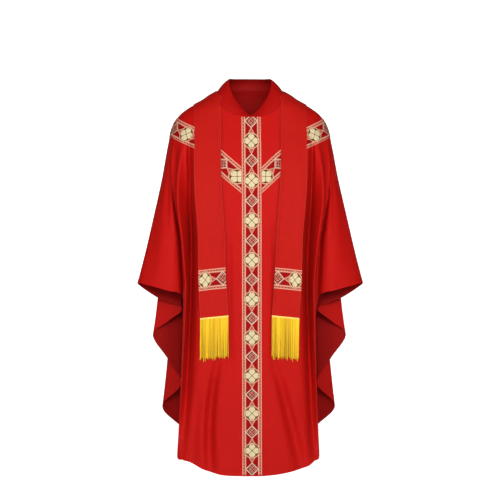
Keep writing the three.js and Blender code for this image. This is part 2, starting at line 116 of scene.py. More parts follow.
# One row for each fold, from centre front round one side to centre back: place on the smooth
# oval, plan at the wrist (x, y), plan at the low level (low_x, low_y), how much further out it
# stands above the wrist in each 100 mm, height of the hem, and how much lower it is at +X.
FOLDS = table(
    "round x y low_x low_y lean hem drop",
    (0, 0, -162, 0, -190, 0, -1204, 0),  # centre front
    (0.071, 30.5, -162, 30.5, -190, 0, -1204, 0),  # column edge
    (0.19, 78, -160, 82, -187, 0, -1201, 0),  # stole side
    (0.31, 127, -155, 135, -179, 0, -1187, 5),  # front
    (0.41, 164, -144, 182, -167, 0, -1164, 15),  # side front
    (0.49, 186, -78, 207, -155, 0, -1157, 6),  # valley
    (0.54, 201, -143, 225, -140, 9, -1145, 0),  # crest
    (0.58, 210, -115, 217, -116, 9, -1040, 0),  # first tuck
    (0.62, 198, -88, 190, -92, 7, -860, 0),  # inner tuck
    (0.67, 214, -78, 214, -78, 9, -662, 0),  # crease
    (0.71, 231, -103, 231, -103, 7, -634, 0),  # sleeve edge
    (0.77, 264, -111, 264, -111, 2, -626, 0),  # forearm
    (0.88, 322, -92, 322, -92, 0, -611, 0),  # arm
    (1, 363.7, -45, 363.7, -45, 0, -604, 0),  # ridge
    (1.09, 302, -6, 302, -6, 0, -650, 0),  # sleeve back
    (1.19, 222, 12, 218, 12, 0, -686, 0),  # first turn
    (1.25, 262, 27, 300, 27, 0, -729, 0),  # first layer
    (1.31, 298, 43, 396, 46, 0, -772, 0),  # first fold
    (1.37, 255, 59, 300, 62, 0, -852, 0),  # second layer
    (1.43, 214, 77, 235, 84, 0, -936, 0),  # second turn
    (1.52, 253, 107, 304, 113, 0, -1012, 0),  # second fold
    (1.62, 205, 137, 238, 145, 0, -1080, 0),  # side back
    (1.74, 140, 152, 152, 166, 0, -1145, 0),  # back
    (1.87, 70, 158, 76, 180, 0, -1180, 0),  # inner back
    (2, 0, 160, 0, 184, 0, -1190, 0),  # centre back
)
CREASE, RIDGE, BACK = 9, 13, 24
WHOLE = 2 * BACK

# Height of the neck seam round the oval.
NECKLINE = table(
    "round z",
    (0, -70),
    (0.083, -68.5),
    (0.17, -60.5),
    (0.26, -44),
    (0.4, -17),
    (0.55, 4),
    (0.75, 17),
    (1, 22),
    (1.4, 27),
    (2, 31),
)

# Top edge of the collar, and how far the collar rolls outwards halfway up.
COLLAR = table(
    "round x y z roll",
    (0, 0, -72, -64.5, 1),
    (0.083, 21, -68, -49, 2),
    (0.17, 39, -61, -27, 4),
    (0.26, 53, -53, -6, 4),
    (0.4, 64, -39, 20, 3),
    (0.55, 68, -22, 40, 2),
    (0.75, 69, -6, 54, 2),
    (1, 67, 14, 61, 3),
    (1.4, 48, 46, 64, 5),
    (2, 0, 64, 66, 6),
)

# Heights of the upper and lower edge of an orphrey arm, at each x in front and behind.
ARM_FRONT = table("x upper lower", (32.1, -235, -318), (95, -179, -262), (176, -106, -175))
ARM_RIDGE = {"upper": -71, "lower": -130}
ARM_BACK = table("x upper lower", (176, -124, -188), (95, -184, -261), (0.3, -258, -341))

# Edges of the stole as it falls in front, below the shoulder ridge.
STOLE_FALL = table(
    "inner_x inner_z outer_x outer_z",
    (102, 1, 178, -36),
    (98, -25, 179, -60),
    (95.5, -62, 178, -95),
    (94.5, -120, 176.5, -142),
    (94.5, -183, 175, -192),
    (87, -360, 167, -366),
    (77.5, -552, 157.5, -561),
    (68, -702, 154.5, -711),
)

# Soft creases: a line from top to foot, its bend sideways halfway, the width and depth of the
# trough (a ridge where the depth is negative) and the share of its length that each end fades.
# x is measured towards the side named, zone says which stretch of cloth has it.
CREASES = table(
    "zone side top_x top_z foot_x foot_z bend width depth fade",
    (0, -1, 198, -110, 188, -520, 0, 8, 17.0, 0.25),
    (0, 1, 198, -110, 188, -520, 0, 8, 17.0, 0.25),
    (0, -1, 72, -380, 68, -900, 0, 9, 8.0, 0.3),
    (0, 1, 74, -360, 69, -880, 0, 10, 7.0, 0.3),
    (0, -1, 95, -800, 129, -1200, 18, 14, 26.0, 0.4),
    (0, 1, 60, -810, 160, -1205, 4, 17, 20.0, 0.45),
    (0, -1, 160, -900, 185, -1200, 4, 16, 8.0, 0.5),
    (0, 1, 184, -900, 196, -1190, 3, 14, 7.0, 0.5),
    (0, 1, 30, -1000, 60, -1230, 3, 16, 2.5, 0.5),
    (1, -1, 252, -150, 268, -420, 4, 9, 4.0, 0.5),
    (1, 1, 250, -150, 262, -400, 4, 9, 3.0, 0.5),
    (1, -1, 290, -330, 320, -620, 6, 18, 2.5, 0.5),
    (1, 1, 284, -300, 306, -620, 5, 20, 2.5, 0.5),
    (2, -1, 60, -330, 96, -1180, 8, 17, 10.0, 0.4),
    (2, 1, 44, -420, 62, -1190, -7, 15, 8.5, 0.4),
    (2, 1, 128, -260, 150, -1050, 6, 16, 9.0, 0.4),
    (2, -1, 150, -300, 170, -980, -6, 15, 8.5, 0.4),
)
ZONE_FROM = (0.0, 10.2, 20.6)  # places where the cloth of each zone starts and ends
ZONE_TO = (5.6, 12.7, 24.5)
ZONE_BLEND = 0.6  # over how much of a place a crease fades at the end of its zone
CREASE_TOP = 0.7  # a crease's width at its top, as a share of the one given
CREASE_WIDENS = 0.5  # how much that share grows down to its foot
CREASE_RISE = 0.45  # the larger, the more the cloth stands up beside a trough
CREASE_FALLOFF = 0.6  # how soon a crease dies out sideways
FOOT_LEFT = 0.35  # keeps some of a crease's depth at its foot
FRONT_END = 7  # place by which the cloth has turned away from the front
CLOSE_FROM, CLOSE_TO = 4.2, 10.4  # places between which a panel's columns lie closer
CLOSE_BLEND = 0.4
RING_STEP = 0.02  # step along the ring that directions are worked out over


# ---------------------------------------------------------------- curves and surface
def lerp(a, b, t):
    return a + (b - a) * t


def smooth(t):
    t = np.clip(t, 0, 1)
    return t * t * (3 - 2 * t)


def rises(value, start, over):
    """0 up to start, and 1 from a stretch past it."""
    return smooth((value - start) / over)


def falls(value, end, over):
    """1 up to a stretch before the end, and 0 from there."""
    return smooth((end - value) / over)


def between(start, end, start_slope, end_slope, t):
    """Smooth value from start to end, with a slope given at each."""
    t2 = t * t
    t3 = t2 * t
    near = start * (2 * t3 - 3 * t2 + 1) + start_slope * (t3 - 2 * t2 + t)
    return near + end * (3 * t2 - 2 * t3) + end_slope * (t3 - t2)


def through(a, b, c, d, t):
    """Catmull-Rom value between b and c."""
    return between(b, c, (c - a) / 2, (d - b) / 2, t)


def table_at(rows, key, at, column):
    """A column of a table at heights or places between its unevenly spaced rows."""
    keys = rows[key]
    values = rows[column]
    turn = -1 if keys[0] > keys[1] else 1
    i = np.searchsorted(turn * keys[1:-1], turn * np.asarray(at, float))
    before = np.maximum(np.arange(len(keys)) - 1, 0)
    after = np.minimum(np.arange(len(keys)) + 1, len(keys) - 1)
    slopes = (values[after] - values[before]) / (keys[after] - keys[before])
    span = keys[i + 1] - keys[i]
    t = np.clip((at - keys[i]) / span, 0, 1)
    return between(values[i], values[i + 1], slopes[i] * span, slopes[i + 1] * span, t)


def fold_at(place, column, odd=False):
    """A column of FOLDS between its rows; the two ends mirror."""
    values = FOLDS[column]
    first, last = values[1], values[-2]
    if column == "round":
        first, last = -first, 4 - last
    elif odd:
        first, last = -first, -last
    padded = np.concatenate([[first], values, [last]])
    i = np.clip(np.floor(place).astype(int), 0, BACK - 1)
    return through(padded[i], padded[i + 1], padded[i + 2], padded[i + 3], place - i)


def side_of(ring):
    """Side of the body and place in FOLDS: ring 0 is centre front, RIDGE the +X shoulder."""
    ring = np.where(ring < -RIDGE, ring + WHOLE, ring)
    side = np.where((ring < 0) | (ring > BACK), -1.0, 1.0)
    return side, np.where(ring > BACK, WHOLE - ring, np.abs(ring))


def cloth_at(ring, z):
    """The outer face of the chasuble, without its creases."""
    side, place = side_of(ring)
    level = {name: table_at(LEVELS, "z", z, name) for name in ("half", "ridge", "front", "back")}
    angle = fold_at(place, "round") * math.pi / 2
    fill = 1 + SQUARE * np.sin(2 * angle) ** 2
    depth = np.where(angle < math.pi / 2, -level["front"] - level["ridge"], level["ridge"] - level["back"])
    oval_x = level["half"] * np.sin(angle) * fill
    oval_y = level["ridge"] + depth * np.cos(angle) * fill
    opened = np.maximum(0, (WRIST - z) / (WRIST - LOW)) ** SPREAD
    wrist_x = fold_at(place, "x", odd=True)
    fold_y = lerp(fold_at(place, "y"), fold_at(place, "low_y"), opened)
    fold_x = lerp(wrist_x, fold_at(place, "low_x", odd=True), opened)
    fold_x = fold_x + fold_at(place, "lean") * np.maximum(0, z - WRIST) / 100
    bodice = 200
    reach = FOLDS["x"][RIDGE]
    sleeve = np.clip((wrist_x - bodice) / (reach - bodice), 0, 1)
    fold_x = fold_x + sleeve * (table_at(LEVELS, "z", np.maximum(z, WRIST), "half") - reach)
    full = falls(z, FOLD_START, FOLD_START - FOLD_FULL)
    swings = smooth(place - 1) * smooth((CREASE - place) / 2)
    sway = SWAY * swings * np.maximum(0, z / LOW)
    x = side * lerp(oval_x, fold_x, full) - sway
    return np.stack(np.broadcast_arrays(x, lerp(oval_y, fold_y, full), z), axis=-1)


def unit(vectors):
    return vectors / np.maximum(np.linalg.norm(vectors, axis=-1, keepdims=True), 1e-9)


def outward(ring, z):
    """Which way the smooth cloth faces."""
    drop = 0.8
    across = cloth_at(ring + RING_STEP, z) - cloth_at(ring - RING_STEP, z)
    down = cloth_at(ring, z - drop) - cloth_at(ring, z + drop)
    return unit(np.cross(down, across))


def creased(ring, point):
    """How far the creases move the cloth out, at points of its smooth face."""
    side, place = side_of(ring)
    move = np.zeros(point.shape[:-1])
    for zone, row_side, top_x, top_z, foot_x, foot_z, bend, width, depth, fade in zip(*CREASES.values()):
        t = (top_z - point[..., 2]) / (top_z - foot_z)
        middle = lerp(top_x, foot_x, t) + bend * 4 * t * (1 - t)
        reached = width * (CREASE_TOP + CREASE_WIDENS * np.clip(t, 0, 1))
        off = (point[..., 0] * row_side - middle) / reached
        shape = (1 - CREASE_RISE * off * off) * np.exp(-CREASE_FALLOFF * off * off)
        ends = smooth(t / fade) * smooth((1 - t) / fade + FOOT_LEFT)
        start, end = ZONE_FROM[int(zone)], ZONE_TO[int(zone)]
        inside = smooth((place - start) / ZONE_BLEND + 1) * smooth((end - place) / ZONE_BLEND + 0.5)
        move -= depth * shape * ends * inside * (side == row_side)
    return move


def surface(ring, z, lift=0.0):
    """The chasuble's outer face with its creases, moved out by lift; creases of the front
    go straight back, so that they stay sharp on the walls of the folds."""
    point = cloth_at(ring, z)
    out = outward(ring, z)
    in_front = smooth(FRONT_END - side_of(ring)[1])[..., None]
    way = lerp(out, np.array([0.0, -1.0, 0.0]), in_front)
    return point + way * creased(ring, point)[..., None] + out * np.asarray(lift)[..., None]


def hanging(ring, z, lift):
    """The smooth face moved out by lift, where a stiffer piece bridges the creases."""
    return cloth_at(ring, z) + outward(ring, z) * np.asarray(lift)[..., None]


def neck_at(ring):
    return table_at(NECKLINE, "round", fold_at(side_of(ring)[1], "round"), "z")


def hem_at(ring):
    side, place = side_of(ring)
    return fold_at(place, "hem") - fold_at(place, "drop") * (side > 0)


def ring_at(x, z, back=False):
    """Place on the ring where the +X side of a panel is x from the middle."""
    x, z = np.broadcast_arrays(np.asarray(x, float), np.asarray(z, float))
    low = np.full(x.shape, float(RIDGE if back else 0))
    high = np.full(x.shape, float(BACK if back else RIDGE))
    halvings = 30
    for _ in range(halvings):
        middle = (low + high) / 2
        inside = (cloth_at(middle, z)[..., 0] - cloth_at(-middle, z)[..., 0]) / 2 < x
        ahead = ~inside if back else inside
        low = np.where(ahead, middle, low)
        high = np.where(ahead, high, middle)
    return (low + high) / 2


def run_of(points, axis):
    """Length walked along one axis of a grid of points."""
    steps = np.linalg.norm(np.diff(points, axis=axis), axis=-1)
    first = np.zeros_like(np.take(steps, [0], axis=axis))
    return np.concatenate([first, np.cumsum(steps, axis=axis)], axis=axis)


def panel_places(start, end, count, z):
    """Places round the ring, spaced along the cloth at a height and closer in the folds."""
    dense = np.linspace(start, end, 3000)
    walked = run_of(cloth_at(dense, np.full(dense.shape, float(z))), 0)
    place = side_of(dense)[1]
    in_folds = rises(place, CLOSE_FROM, CLOSE_BLEND) * falls(place, CLOSE_TO, CLOSE_BLEND)
    closer = 1 + FOLD_DENSITY * in_folds
    counted = np.concatenate([[0], np.cumsum(np.diff(walked) * closer[1:])])
    return np.interp(np.linspace(0, counted[-1], count), counted, dense)


# ---------------------------------------------------------------- meshes
def in_scene(name, data):
    thing = bpy.data.objects.new(name, data)
    bpy.context.scene.collection.objects.link(thing)
    return thing


def new_mesh(name, points, faces, edges=()):
    mesh = bpy.data.meshes.new(name)
    mesh.from_pydata((np.asarray(points) * MM).tolist(), edges, faces.tolist() if len(faces) else [])
    mesh.update()
    return in_scene(name, mesh)


def shade_smooth(mesh):
    mesh.polygons.foreach_set("use_smooth", np.ones(len(mesh.polygons), bool))


def quads_of(columns, rows, shift=0, loop=False, inward=False):
    """Quads of a grid that is counted across and then down."""
    across = np.arange(columns if loop else columns - 1)
    down = np.arange(rows - 1)
    i, j = np.meshgrid(across, down)
    a = (j * columns + i).ravel() + shift
    b = (j * columns + (i + 1) % columns).ravel() + shift
    quads = np.stack([a, a + columns, b + columns, b], axis=1)
    return quads[:, ::-1] if inward else quads


def rim_of(columns, rows, loop=False):
    """The edge of a grid, as indices in order, so that a wall can join two faces."""
    top = np.arange(columns)
    foot = top + (rows - 1) * columns
    if loop:
        return [np.append(top, top[0])[::-1], np.append(foot, foot[0])]
    left = np.arange(rows) * columns
    right = left + columns - 1
    return [np.concatenate([left, foot[1:], right[::-1][1:], top[::-1][1:]])]


def shell(name, outer, inner, uv, loop=False, values=None):
    """A closed sheet of cloth between two grids of points, each rows x columns x 3."""
    rows, columns = outer.shape[:2]
    count = rows * columns
    walls = []
    for rim in rim_of(columns, rows, loop):
        here, there = rim[:-1], rim[1:]
        walls.append(np.stack([here, here + count, there + count, there], axis=1))
    faces = np.concatenate([
        quads_of(columns, rows, loop=loop),
        quads_of(columns, rows, shift=count, loop=loop, inward=True),
        *walls,
    ])
    piece = new_mesh(name, np.concatenate([outer.reshape(-1, 3), inner.reshape(-1, 3)]), faces)
    mesh = piece.data
    shade_smooth(mesh)
    corner = np.empty(len(mesh.loops), np.int32)
    mesh.loops.foreach_get("vertex_index", corner)
    flat = np.concatenate([uv.reshape(-1, 2)] * 2) * MM
    mesh.uv_layers.new(name="cloth")
    mesh.uv_layers["cloth"].data.foreach_set("uv", flat[corner].astype(np.float32).ravel())
    all_values = {"inside": np.repeat([0.0, 1.0], count)}
    for key, value in (values or {}).items():
        all_values[key] = np.concatenate([value.ravel()] * 2)
    for key, value in all_values.items():
        mesh.attributes.new(key, "FLOAT", "POINT").data.foreach_set("value", value.astype(np.float32))
    sharpen(mesh, np.concatenate(rim_of(columns, rows, loop)), count)
    return piece


def sharpen(mesh, rim, count):
    """Marks the edges between a face of a shell and its rim as sharp."""
    on_rim = np.zeros(2 * count, bool)
    on_rim[rim] = True
    on_rim[rim + count] = True
    ends = np.empty(2 * len(mesh.edges), np.int32)
    mesh.edges.foreach_get("vertices", ends)
    ends = ends.reshape(-1, 2)
    same_face = (ends[:, 0] < count) == (ends[:, 1] < count)
    mesh.edges.foreach_set("use_edge_sharp", on_rim[ends].all(axis=1) & same_face)


def uv_of(points):
    """Lengths across and down a grid, measured along the cloth; 0 across is its middle column."""
    across = run_of(points, 1)
    across = across - across[:, [(points.shape[1] - 1) // 2]]
    return np.stack([across, run_of(points, 0)], axis=-1)


# ---------------------------------------------------------------- formulas for patterns
class Wire:
    """A number in a material's node tree, so that a pattern can be written as a formula."""

    def __init__(self, tree, socket):
        self.tree = tree
        self.socket = socket

    def __add__(self, other):
        return calc("ADD", self, other)

    def __sub__(self, other):
        return calc("SUBTRACT", self, other)

    def __rsub__(self, other):
        return calc("SUBTRACT", other, self)

    def __mul__(self, other):
        return calc("MULTIPLY", self, other)

    def __truediv__(self, other):
        return calc("DIVIDE", self, other)

    __radd__ = __add__
    __rmul__ = __mul__


def ping_pong(value, scale):
    turned = np.mod(value, 2 * scale)
    return np.minimum(turned, 2 * scale - turned)


NUMBERS = {
    "MINIMUM": np.minimum,
    "MAXIMUM": np.maximum,
    "ABSOLUTE": np.abs,
    "SQRT": np.sqrt,
    "PINGPONG": ping_pong,
}


def calc(operation, *values):
    """A step of a formula, on arrays of numbers or in a material's nodes."""
    wire = next((value for value in values if isinstance(value, Wire)), None)
    if wire is None:
        return NUMBERS[operation](*values)
    node = wire.tree.nodes.new("ShaderNodeMath")
    node.operation = operation
    for socket, value in zip(node.inputs, values):
        if isinstance(value, Wire):
            wire.tree.links.new(value.socket, socket)
        else:
            socket.default_value = value
    return Wire(wire.tree, node.outputs[0])


def least(*values):
    result = values[0]
    for value in values[1:]:
        result = calc("MINIMUM", result, value)
    return result


def most(*values):
    result = values[0]
    for value in values[1:]:
        result = calc("MAXIMUM", result, value)
    return result


def size(value):
    return calc("ABSOLUTE", value)


def reach(a, b):
    return calc("SQRT", a * a + b * b)


def within(distance, soft=0.5):
    """1 where a distance is below 0, 0 where it is above, with a soft edge."""
    return least(most(0.5 - distance / soft, 0.0), 1.0)


def stripe(distance, at, half):
    """Below 0 on a line that runs at a distance, half of its width to each side."""
    return size(distance - at) - half


# The woven band: a medallion with four petals and a lozenge by turns, between edge lines.
REPEAT = 122.5
HALF_BAND = COLUMN_WIDTH / 2
DISC = 24.5  # radius of a medallion
PETAL_AT = 11.8  # from the middle of a medallion to that of a petal
PETAL = 9.9  # radius of a petal
PETAL_END = 21.2  # radius that cuts the petals off
BORDER = 25.1  # from the band's middle to the beaded border
LATTICE_END = 16.5  # from the middle of a lozenge to where its lattice stops
KNOT_FOOT, KNOT_TIP = 23, 40  # along the band, from the middle of a medallion
KNOT_HALF, KNOT_LENGTH = 8.5, 16  # half its width, and over which length it narrows to the tip


def band_design(u, v):
    """Parts of the woven design: u across the band from its middle, v along it from a
    medallion, both in millimetres."""
    across = size(u)
    near = calc("PINGPONG", v, REPEAT / 2)
    far = REPEAT / 2 - near
    disc = reach(u, near)
    diamond = across + far
    knot = across - KNOT_HALF * (KNOT_TIP - near) / KNOT_LENGTH
    knot_zone = most(near - KNOT_TIP, KNOT_FOOT - near)

    ring = stripe(disc, at=23.6, half=1.5)
    petals = least(reach(across - PETAL_AT, near), reach(u, near - PETAL_AT)) - PETAL
    petals = most(petals, 0.8 - size(across - near) * 0.7, disc - PETAL_END)
    notch = least(most(size(u) - 1.0, 18.6 - near), most(size(near) - 1.0, 18.6 - across))
    vein = least(
        most(stripe(across, at=15.5, half=2.6), near - 0.8),
        most(stripe(near, at=15.5, half=2.6), across - 0.8),
    )
    frame_line = stripe(diamond, at=19.8, half=2.1)
    lattice = least(calc("PINGPONG", u + far, 4.6), calc("PINGPONG", u - far, 7.4)) - 1.5
    outer_line = 27.6 - across
    inner_line = stripe(across, at=20.7, half=1.9)
    channel = stripe(across, at=BORDER, half=2.6)
    beads = most(stripe(across, at=BORDER, half=1.5), calc("PINGPONG", v, 4.9) - 1.9)

    return {
        "lines": most(within(outer_line), within(inner_line)),
        "channel": within(channel),
        "beads": within(beads),
        "frame": within(frame_line),
        "lattice_ground": within(diamond - 18.4),
        "lattice": within(most(lattice, diamond - LATTICE_END)),
        "outline": within(stripe(diamond, at=16.9, half=1.2)),
        "knot_line": within(most(size(knot) - 1.3, knot_zone)),
        "knot": within(most(knot, knot_zone)),
        "disc": within(disc - DISC),
        "ring": within(ring),
        "petals": within(petals),
        "vein": within(vein),
        "notch": within(most(notch, disc - 21.6)),
    }


def band_relief(u, v):
    """How far the threads of the design stand out, in millimetres."""
    parts = band_design(u, v)
    clear = 1 - parts["disc"]
    raised = most(0.3 * parts["lines"], 0.35 * parts["frame"], 0.25 * parts["knot_line"]) * clear
    return most(raised, 0.35 * parts["ring"], 0.5 * parts["petals"])


# ---------------------------------------------------------------- materials
DYED = 0.62  # dyed cloth gives back this share of the strong studio light


def linear(red, green, blue):
    """Colour of a cloth or thread from screen values of 0 to 255, as it looks in the studio."""
    channels = []
    for value in (red, green, blue):
        c = value / 255
        channels.append(DYED * (c / 12.92 if c <= 0.04045 else ((c + 0.055) / 1.055) ** 2.4))
    return (*channels, 1.0)


def new_material(name):
    material = bpy.data.materials.new(name)
    material.use_nodes = True
    return material, material.node_tree, material.node_tree.nodes["Principled BSDF"]


def settle(node, values):
    """Sets sockets of a node that nothing is linked to."""
    for label, value in values.items():
        node.inputs[label].default_value = value


def uv_wires(tree):
    """Millimetres across and down the piece, from its own map."""
    uv = tree.nodes.new("ShaderNodeUVMap")
    uv.uv_map = "cloth"
    parts = tree.nodes.new("ShaderNodeSeparateXYZ")
    tree.links.new(uv.outputs[0], parts.inputs[0])
    return uv.outputs[0], Wire(tree, parts.outputs[0]) / MM, Wire(tree, parts.outputs[1]) / MM


def value_of(tree, name):
    node = tree.nodes.new("ShaderNodeAttribute")
    node.attribute_name = name
    return Wire(tree, node.outputs["Fac"])


def noise(tree, vector, scale, detail=2.0):
    node = tree.nodes.new("ShaderNodeTexNoise")
    settle(node, {"Scale": scale, "Detail": detail})
    tree.links.new(vector, node.inputs["Vector"])
    return Wire(tree, node.outputs["Fac"])


def blended(tree, share, below, above):
    """The colour above laid over the one below, by a share."""
    node = tree.nodes.new("ShaderNodeMix")
    node.data_type = "RGBA"
    tree.links.new(share.socket, node.inputs[0])
    for socket, colour in ((node.inputs[6], below), (node.inputs[7], above)):
        if isinstance(colour, tuple):
            socket.default_value = colour
        else:
            tree.links.new(colour, socket)
    return node.outputs[2]


def bumped(tree, shader, height, distance, strength):
    node = tree.nodes.new("ShaderNodeBump")
    settle(node, {"Distance": distance * MM, "Strength": strength})
    tree.links.new(height.socket, node.inputs["Height"])
    tree.links.new(node.outputs[0], shader.inputs["Normal"])


YARN_PITCH = 0.9
RIB_PITCH = 1.1  # ribs of the woven band
PAINTED_EDGE_HIGHLIGHT = linear(228, 92, 74)  # painted highlight, a paler line along the stole's edges


def cloth_material(name, colour, deep, inner, highlight_edge_from=0.0):
    """Plain woven cloth with a soft bloom: colour, its darker yarns, a darker inner side that is painted
    shade, and a painted highlight along the edges if asked.
    """
    material, tree, shader = new_material(name)
    vector, u, v = uv_wires(tree)
    turn = 2 * math.pi / YARN_PITCH
    weft = calc("SINE", (u + v * 0.5) * turn)
    warp = calc("SINE", (u * 0.5 - v) * turn)
    yarns = weft * 0.5 + warp * 0.5
    cloudy = noise(tree, vector, scale=7.0, detail=3.0)
    slub = noise(tree, vector, scale=320.0)
    share = least(most(cloudy * 0.5 + slub * 0.35 + yarns * 0.08 - 0.1, 0.0), 1.0)
    body = blended(tree, share, colour, deep)
    # Painted highlight: a paler line along both edges of the stole.
    if highlight_edge_from:
        edge = least(most(size(u) - highlight_edge_from, 0.0), 1.0)
        body = blended(tree, edge * 0.35, body, PAINTED_EDGE_HIGHLIGHT)
    # Painted shade: the inner face of the cloth takes the darker inner colour.
    shown = blended(tree, value_of(tree, "inside"), body, inner)
    tree.links.new(shown, shader.inputs["Base Color"])
    rough = 0.62 + slub * 0.14
    tree.links.new(rough.socket, shader.inputs["Roughness"])
    settle(shader, {
        "Specular IOR Level": 0.12,
        "Sheen Weight": 0.05,
        "Sheen Roughness": 0.45,
        "Sheen Tint": linear(255, 90, 50),
    })
    bumped(tree, shader, yarns * 0.35 + slub, distance=0.35, strength=0.55)
    return material


def band_material(name):
    """Woven band: the design's colours by layers, with the fine ribs of its threads."""
    material, tree, shader = new_material(name)
    vector, u, v = uv_wires(tree)
    parts = band_design(u, v)
    pale = linear(255, 184, 156)
    layers = (
        ("channel", linear(236, 122, 98)),
        ("beads", linear(104, 40, 18)),
        ("lines", pale),
        ("knot", linear(206, 112, 84)),
        ("knot_line", pale),
        ("lattice_ground", linear(236, 148, 126)),
        ("lattice", linear(122, 34, 22)),
        ("outline", linear(120, 44, 26)),
        ("frame", linear(255, 222, 196)),
        ("disc", linear(124, 72, 34)),
        ("ring", linear(255, 196, 160)),
        ("petals", linear(255, 238, 190)),
        ("vein", linear(236, 206, 140)),
        ("notch", linear(170, 120, 64)),
    )
    colour = linear(178, 2, 8)
    for key, tone in layers:
        colour = blended(tree, parts[key], colour, tone)
    rib = calc("SINE", (u + v) * (2 * math.pi / RIB_PITCH))
    fleck = noise(tree, vector, scale=900.0, detail=1.0)
    flecked = least(most(fleck * 0.5 - 0.14 + rib * 0.05, 0.0), 1.0)
    shade = blended(tree, flecked, colour, linear(110, 24, 16))
    tree.links.new(shade, shader.inputs["Base Color"])
    settle(shader, {"Roughness": 0.55, "Specular IOR Level": 0.06})
    raised = most(parts["petals"], parts["ring"], parts["frame"] * 0.8, parts["lines"] * 0.7)
    height = rib * 0.25 + fleck * 0.4 + raised * 0.6
    bumped(tree, shader, height, distance=0.4, strength=0.6)
    return material


def thread_material(name, light, deep, roughness):
    """Loose threads: a tone for each strand, and a fine twist along it; in the fringe the tone also darkens
    the back layers as painted shade.
    """
    material, tree, shader = new_material(name)
    tone = value_of(tree, "tone")
    place = tree.nodes.new("ShaderNodeTexCoord").outputs["Object"]
    twist = noise(tree, place, scale=1500.0, detail=1.0)
    shown = blended(tree, least(most(tone + twist * 0.3 - 0.15, 0.0), 1.0), light, deep)
    tree.links.new(shown, shader.inputs["Base Color"])
    settle(shader, {"Roughness": roughness, "Specular IOR Level": 0.25})
    bumped(tree, shader, twist, distance=0.2, strength=0.4)
    return material


# The last colour of each red is darker for the inner side: painted shade.
RED = cloth_material("red chasuble cloth", linear(218, 14, 5), linear(192, 6, 2), linear(176, 8, 5))
# The collar is the same red cloth, coloured darker as painted shade.
COLLAR_RED_PAINTED_SHADE = cloth_material("red collar cloth", linear(202, 8, 3), linear(178, 4, 1), linear(166, 6, 4))
# The stole's last argument puts a painted highlight along its edges.
STOLE_RED = cloth_material(
    "red stole cloth", linear(214, 22, 10), linear(192, 13, 6), linear(176, 10, 6), STOLE_WIDTH / 2 - 1.6
)
BAND = band_material("woven orphrey band")
# The deep gold is the strands' darker tone and also painted shade on the fringe's back layers.
GOLD, SHADED_DEEP_GOLD = (0.9, 0.58, 0.01, 1.0), (0.34, 0.15, 0.0, 1.0)
STRAW, DEEP_STRAW = (0.9, 0.55, 0.12, 1.0), (0.7, 0.34, 0.04, 1.0)
YELLOW = thread_material("yellow fringe thread", GOLD, SHADED_DEEP_GOLD, 0.5)
PALE_YELLOW = thread_material("pale yellow fringe head", STRAW, DEEP_STRAW, 0.5)
RED_THREAD = thread_material("red sewing thread", linear(190, 20, 16), linear(150, 8, 8), 0.55)


def dress(piece, material, slot, *nodes):
    """Gives a piece its finish and its place in the frame."""
    if not piece.data.materials:
        piece.data.materials.append(material)
    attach(piece, "root")
    if nodes:
        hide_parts(*nodes)


# ---------------------------------------------------------------- chasuble panels
def panel_grid(start, end):
    """Places round the ring and heights of a panel's grid, counted down from the neck seam."""
    places = panel_places(start, end, PANEL_COLUMNS, WRIST)
    down = (np.linspace(0, 1, PANEL_ROWS) ** DENSE_TOP)[:, None]
    ring = np.broadcast_to(places, (PANEL_ROWS, PANEL_COLUMNS)).copy()
    z = lerp(neck_at(places), hem_at(places), down)
    return ring, z


def from_edge(points, edge):
    """Distance of each point from the nearest point of an edge."""
    tree = KDTree(len(edge))
    for k, point in enumerate(edge):
        tree.insert(Vector(point), k)
    tree.balance()
    flat = points.reshape(-1, 3)
    return np.array([tree.find(Vector(point))[2] for point in flat]).reshape(points.shape[:-1])


def chasuble_panel(name, node, start, end):
    """A panel with its turned hem; also its face, distances from the hem and which way it faces."""
    ring, z = panel_grid(start, end)
    face = surface(ring, z)
    dense = np.linspace(start, end, 2400)
    hem = surface(dense, hem_at(dense))
    edge = from_edge(face, hem)
    out = outward(ring, z)
    turned = HEM_RISE * smooth((HEM_WIDTH - edge) / 2.5) * 0.5
    outer = face + out * turned[..., None]
    inner = face - out * (CLOTH + turned)[..., None]
    for side, nudge in ((0, SEAM / 2), (-1, -SEAM / 2)):
        step = unit(face[:, 1] - face[:, 0]) if side == 0 else unit(face[:, -1] - face[:, -2])
        outer[:, side] += step * nudge
        inner[:, side] += step * nudge
    piece = shell(name, outer, inner, uv_of(face), values={"edge": edge})
    dress(piece, RED, "red_cloth", node)
    return piece, face, edge, out


front, front_face, front_edge, front_out = chasuble_panel(
    "front_panel", "chasuble_front", -RIDGE, RIDGE
)
back, back_face, back_edge, back_out = chasuble_panel(
    "back_panel", "chasuble_back", RIDGE, WHOLE - RIDGE
)


